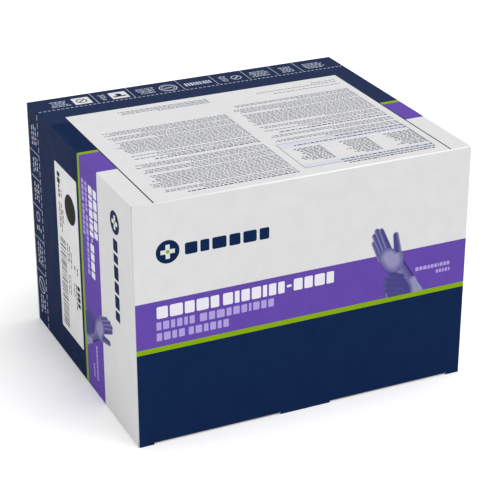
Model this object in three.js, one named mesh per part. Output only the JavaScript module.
// A paperboard carton of sterile exam gloves, closed and full: a folded tube of four walls, a sealed rear
// end, a front lid on a crease with two tuck tabs, dust flaps behind it, and two stacks of glove pouches.
// Millimetres, +Z up. The lid faces -Y. The origin is the middle of the base, which lies on z = 0.
import * as THREE from "three";
import { ConvexGeometry } from "three/addons/geometries/ConvexGeometry.js";

// The closed carton's outside, and the board it is folded from.
const WIDTH = 270;
const DEPTH = 229;
const HEIGHT = 191;
const BOARD = 0.8;
const GAP = 0.3; // air between pieces that lie against each other
const LAYER = BOARD + GAP; // one board and the air before the next

const LEFT = -WIDTH / 2;
const FRONT = -DEPTH / 2;
const REAR = DEPTH / 2;
const RAW_EDGE_INSET = 0.3; // cut edges stop this far inside the carton's outline

// The lid hangs from the crease along the top front edge, and is cut away at its foot for the tabs.
const LID_CLEAR_OF_TABLE = 0.2;
const TAB_INNER = 21.5; // the tabs' sides, measured from the middle of the lid
const TAB_OUTER = 122.5;
const TAB_SIDE_GAP = 0.5;
const TAB_DEPTH = 18;
const TAB_CORNER = 9;
const TAB_RISE = THREE.MathUtils.degToRad(4); // a tucked tab slopes up a little, over the floor

// Dust flaps fold in from the side walls. Each is tapered at the top, to swing clear of the lid.
const DUST_REACH = 85;
const DUST_FOOT = 4; // its lower edge stands over the tucked tab
const DUST_FOOT_TAPER = 6;
const DUST_TOP_INSET = 4;
const DUST_TOP_TAPER = 56;
const DUST_CORNER = 6;

// The sealed end and the tube's own side seam.
const REAR_INNER_REACH = 125;
const GLUE_FLAP_REACH = 24;
const GLUE_FLAP_TAPER = 6;

// The adhesive size label on the left wall.
const LABEL_THICKNESS = 0.12;
const LABEL_REAR_Y = 49.6;
const LABEL_FRONT_Y = 0;
const LABEL_LOW = 24.4;
const LABEL_HIGH = 166;
const LABEL_CORNER = 2;

// Each sterile pouch is a pillow: full in the middle, thin along its sealed rim.
const POUCHES_PER_STACK = 25;
const BUNDLED_PER_STACK = 4; // the lowest pouches of a stack are joined in one solid
const POUCH_WIDTH = 130;
const POUCH_LENGTH = 222;
const STACK_X = 66.3; // each stack's middle, from the middle of the carton
const HEADROOM = 3.2;
const POUCH_RIM = { thick: 1.2, sideSlope: 15, endSlope: 20 };
const BUNDLE_RIM = { thick: 11.4, sideSlope: 10, endSlope: 24 };

const ARC_SEGMENTS = 5;

function finish(color, roughness) {
  return new THREE.MeshStandardMaterial({ color, roughness, metalness: 0 });
}

const printedBoard = () => finish(0x1a2b50, 0.45);
const plainBoard = () => finish(0xd9d4c8, 0.85);
const labelPaper = () => finish(0xe6e6e6, 0.5);
const pouchPaper = () => finish(0xe9edf2, 0.6);

// Turns a flat outline, drawn in x and y and one board thick in z, to stand as a front or a side panel.
const FACING_UP = new THREE.Matrix4();
const FACING_FRONT = new THREE.Matrix4().makeBasis(
  new THREE.Vector3(1, 0, 0),
  new THREE.Vector3(0, 0, 1),
  new THREE.Vector3(0, -1, 0),
);
const FACING_SIDE = new THREE.Matrix4().makeBasis(
  new THREE.Vector3(0, 1, 0),
  new THREE.Vector3(0, 0, 1),
  new THREE.Vector3(1, 0, 0),
);

const carton = new THREE.Group();

// A panel of the outline's shape: its lower surface in its own plane lies at `place`.
function addPanel(name, outline, facing, place, material, thickness = BOARD) {
  const geometry = new THREE.ExtrudeGeometry(outline, {
    depth: thickness,
    bevelEnabled: false,
    curveSegments: ARC_SEGMENTS,
  });
  const panel = new THREE.Mesh(geometry, material);
  panel.name = name;
  panel.quaternion.setFromRotationMatrix(facing);
  panel.position.set(...place);
  carton.add(panel);
  return panel;
}

// An outline through the given corners, each [x, y, radius], with the radius left out at a sharp one.
function outlineOf(corners) {
  const shape = new THREE.Shape();
  const points = corners.map(([x, y]) => new THREE.Vector2(x, y));
  corners.forEach(([, , radius = 0], i) => {
    const here = points[i];
    const before = points.at(i - 1);
    const after = points[(i + 1) % points.length];
    const towards = (other) => here.clone().add(other.clone().sub(here).setLength(radius));
    const start = radius ? towards(before) : here;
    if (i === 0) shape.moveTo(start.x, start.y);
    else shape.lineTo(start.x, start.y);
    if (radius) {
      const end = towards(after);
      shape.quadraticCurveTo(here.x, here.y, end.x, end.y);
    }
  });
  shape.closePath();
  return shape;
}

function rectangle(x0, y0, x1, y1, radius = 0) {
  return outlineOf([
    [x0, y0, radius],
    [x1, y0, radius],
    [x1, y1, radius],
    [x0, y1, radius],
  ]);
}

// The same corners on the other side of x = 0, still going round the same way.
const mirrored = (corners) => corners.map(([x, y, radius]) => [-x, y, radius]).reverse();

function addWalls() {
  const sideLow = LAYER;
  const sideHigh = HEIGHT - LAYER;
  const sideFront = FRONT + 2 * LAYER;
  const sideRear = REAR - 3 * LAYER;
  const top = rectangle(LEFT, FRONT, -LEFT, REAR - LAYER);
  const bottom = rectangle(LEFT, FRONT + LAYER, -LEFT, REAR - 2 * LAYER);
  const side = rectangle(sideFront, sideLow, sideRear, sideHigh);
  addPanel("top_wall", top, FACING_UP, [0, 0, HEIGHT - BOARD], printedBoard());
  addPanel("bottom_wall", bottom, FACING_UP, [0, 0, 0], printedBoard());
  addPanel("left_wall", side, FACING_SIDE, [LEFT, 0, 0], printedBoard());
  addPanel("right_wall", side, FACING_SIDE, [-LEFT - BOARD, 0, 0], printedBoard());

  // The seam that closes the tube: a flap of the bottom wall, glued inside the right wall.
  const seam = outlineOf([
    [sideFront + GLUE_FLAP_TAPER, sideLow],
    [sideRear - GLUE_FLAP_TAPER, sideLow],
    [sideRear - 2 * GLUE_FLAP_TAPER, sideLow + GLUE_FLAP_REACH],
    [sideFront + 2 * GLUE_FLAP_TAPER, sideLow + GLUE_FLAP_REACH],
  ]);
  addPanel("glue_flap", seam, FACING_SIDE, [-LEFT - BOARD - LAYER, 0, 0], plainBoard());
}

function addRearEnd() {
  const cutEdge = -LEFT - RAW_EDGE_INSET;
  const outer = rectangle(-cutEdge, RAW_EDGE_INSET, cutEdge, HEIGHT);
  const inner = rectangle(-cutEdge, RAW_EDGE_INSET, cutEdge, REAR_INNER_REACH);
  addPanel("rear_outer_flap", outer, FACING_FRONT, [0, REAR, 0], printedBoard());
  addPanel("rear_inner_flap", inner, FACING_FRONT, [0, REAR - LAYER, 0], printedBoard());
  addDustFlaps("rear_dust_flap", REAR - 2 * LAYER);
}

function addDustFlaps(name, innerY) {
  const foot = LAYER + DUST_FOOT - BOARD;
  const head = HEIGHT - DUST_TOP_INSET;
  const left = [
    [LEFT, foot],
    [LEFT + DUST_REACH, foot + DUST_FOOT_TAPER, DUST_CORNER],
    [LEFT + DUST_REACH, head - DUST_TOP_TAPER, DUST_CORNER],
    [LEFT, head],
  ];
  addPanel(name + "_left", outlineOf(left), FACING_FRONT, [0, innerY, 0], plainBoard());
  addPanel(name + "_right", outlineOf(mirrored(left)), FACING_FRONT, [0, innerY, 0], plainBoard());
}

function addLid() {
  const side = -LEFT - RAW_EDGE_INSET;
  const top = HEIGHT - LAYER;
  const foldTop = 2 * LAYER + GAP / 3; // over the tabs' creases
  const inner = TAB_INNER - TAB_SIDE_GAP;
  const outer = TAB_OUTER + TAB_SIDE_GAP;
  const lid = outlineOf([
    [-side, LID_CLEAR_OF_TABLE],
    [-outer, LID_CLEAR_OF_TABLE],
    [-outer, foldTop],
    [-inner, foldTop],
    [-inner, LID_CLEAR_OF_TABLE],
    [inner, LID_CLEAR_OF_TABLE],
    [inner, foldTop],
    [outer, foldTop],
    [outer, LID_CLEAR_OF_TABLE],
    [side, LID_CLEAR_OF_TABLE],
    [side, top],
    [-side, top],
  ]);
  addPanel("lid", lid, FACING_FRONT, [0, FRONT + BOARD, 0], printedBoard());
  addDustFlaps("front_dust_flap", FRONT + LAYER + BOARD);
  addTuckTab("tuck_tab_left", -TAB_OUTER, -TAB_INNER);
  addTuckTab("tuck_tab_right", TAB_INNER, TAB_OUTER);
}

// A tab folds in from the foot of the lid, over the bottom wall.
function addTuckTab(name, x0, x1) {
  const outline = outlineOf([
    [x0, 0],
    [x1, 0],
    [x1, TAB_DEPTH, TAB_CORNER],
    [x0, TAB_DEPTH, TAB_CORNER],
  ]);
  const leanOut = BOARD * Math.sin(TAB_RISE); // how far the slope pushes its upper edge forwards
  const tab = addPanel(name, outline, FACING_UP, [0, FRONT + leanOut, LAYER], plainBoard());
  tab.rotateX(TAB_RISE);
}

function addLabel() {
  const outline = rectangle(LABEL_FRONT_Y, LABEL_LOW, LABEL_REAR_Y, LABEL_HIGH, LABEL_CORNER);
  const place = [LEFT - LABEL_THICKNESS, 0, 0];
  addPanel("size_label", outline, FACING_SIDE, place, labelPaper(), LABEL_THICKNESS);
}

// A pillow of the given height, its rim half way up, sloping to a flat on top and underneath.
function pillow(height, rim) {
  const points = [];
  const levels = [
    [0, rim.sideSlope, rim.endSlope],
    [(height - rim.thick) / 2, 0, 0],
    [(height + rim.thick) / 2, 0, 0],
    [height, rim.sideSlope, rim.endSlope],
  ];
  for (const [z, insetX, insetY] of levels)
    for (const x of [-1, 1])
      for (const y of [-1, 1])
        points.push(
          new THREE.Vector3(x * (POUCH_WIDTH / 2 - insetX), y * (POUCH_LENGTH / 2 - insetY), z),
        );
  return new ConvexGeometry(points);
}

function addStack(side, x) {
  const floor = LAYER;
  const pitch = (HEIGHT - BOARD - HEADROOM - floor) / POUCHES_PER_STACK;
  const place = (name, geometry, z) => {
    const pouch = new THREE.Mesh(geometry, pouchPaper());
    pouch.name = name;
    pouch.position.set(x, 0, z);
    carton.add(pouch);
  };
  place(`pouch_${side}_bundle`, pillow(BUNDLED_PER_STACK * pitch - GAP, BUNDLE_RIM), floor);
  for (let layer = BUNDLED_PER_STACK; layer < POUCHES_PER_STACK; layer++) {
    const fromTop = String(POUCHES_PER_STACK - layer).padStart(2, "0");
    place(`pouch_${side}_${fromTop}`, pillow(pitch - GAP, POUCH_RIM), floor + layer * pitch);
  }
}

addWalls();
addRearEnd();
addLid();
addLabel();
addStack("left", -STACK_X);
addStack("right", STACK_X);

export default carton;
